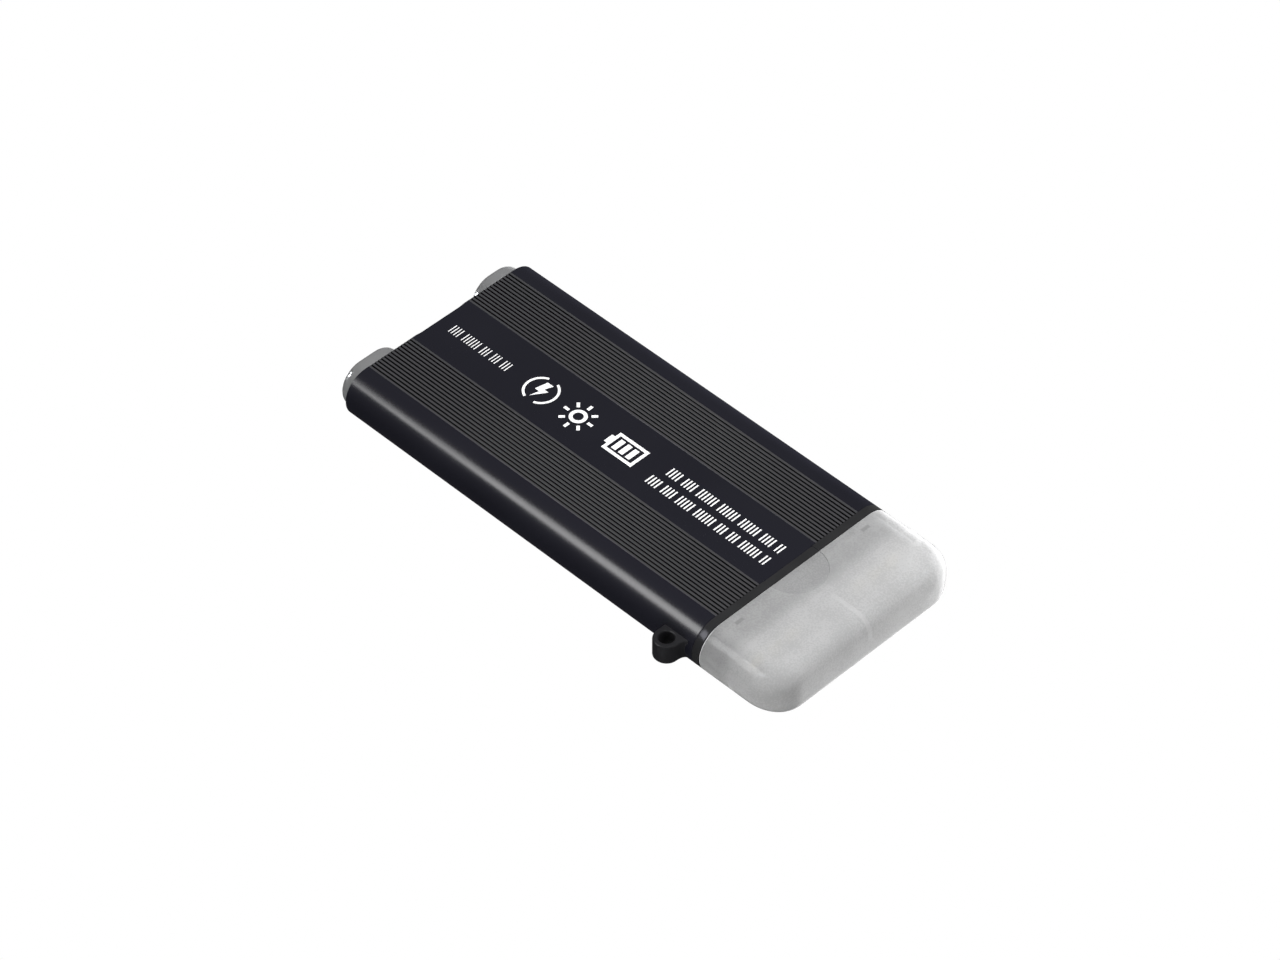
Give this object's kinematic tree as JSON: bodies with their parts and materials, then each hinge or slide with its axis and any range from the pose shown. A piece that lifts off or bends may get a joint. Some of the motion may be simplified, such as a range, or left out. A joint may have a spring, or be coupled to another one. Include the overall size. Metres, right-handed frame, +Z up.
{
  "type": "pocket light with pouch battery cell",
  "caption": "Slim rechargeable pocket light: ribbed aluminium sleeve round a pouch battery cell, torch lenses, a frosted pull-off lantern cap over a charging socket, lanyard lug.",
  "frame": {"origin": "on the underside (the plain face), below the middle of the aluminium sleeve", "axes": "+X from the torch lens end to the frosted cap end; +Y across the width, away from the lanyard lug; +Z up out of the marked face"},
  "size_m": [0.0934, 0.0434, 0.0087],
  "materials": {
    "anodised_sleeve": "satin black anodised",
    "collar_plastic": "fine moulded texture",
    "lug_plastic": "satin moulded",
    "black_plastic": "satin moulded",
    "frosted_plastic": "glossy outside, milky inside",
    "lens_plastic": "clear moulded, slightly smoky",
    "clear_plastic": "clear",
    "reflector": "metallised",
    "led": "phosphor",
    "circuit_board": "solder mask",
    "white_board": "white solder mask",
    "tray_plastic": "moulded",
    "pouch_foil": "laminated foil",
    "aluminium_tab": "bare strip",
    "nickel_tab": "nickel strip",
    "tape": "amber film",
    "foam": "open foam",
    "steel_shell": "plated steel",
    "component_black": "moulded package",
    "component_tan": "ceramic",
    "button_rubber": "satin",
    "wire_red": "insulation",
    "wire_black": "insulation",
    "wire_white": "insulation"
  },
  "bodies": {
    "housing": {"sleeve": "anodised_sleeve", "end_plate": "black_plastic", "lens_left": "lens_plastic", "lens_right": "lens_plastic", "torch_reflector_left": "reflector", "torch_reflector_right": "reflector", "torch_led_left": "led", "torch_led_right": "led", "torch_board": "circuit_board", "cell_tray": "tray_plastic", "pouch_cell": "pouch_foil", "cell_tab_positive": "aluminium_tab", "cell_tab_negative": "nickel_tab", "protection_board": "circuit_board", "cell_tape": "tape", "foam_pad": "foam", "main_board": "circuit_board", "usb_shell": "steel_shell", "usb_tongue": "black_plastic", "inductor": "component_black", "charge_chip": "component_black", "board_capacitors": "component_tan", "switch_body": "steel_shell", "indicator_led": "led", "light_pipe": "clear_plastic", "wire_positive": "wire_red", "wire_negative": "wire_black", "led_wire_left": "wire_white", "led_wire_right": "wire_white", "collar": "collar_plastic", "lantern_board": "white_board", "lantern_leds": "led", "lanyard_lug": "lug_plastic"},
    "cap": {"frosted_cap": "frosted_plastic"},
    "button": {"power_button": "button_rubber", "switch_plunger": "component_black"}
  },
  "joints": [
    {"name": "cap_pull", "type": "slide", "parent": "housing", "child": "cap", "axis": [1, 0, 0], "range_m": [0, 0.02]},
    {"name": "button_press", "type": "slide", "parent": "housing", "child": "button", "axis": [0, 0, 1], "range_m": [0, 0.00025], "stiffness_N_per_m": 1500, "springref_m": -0.0002}
  ]
}
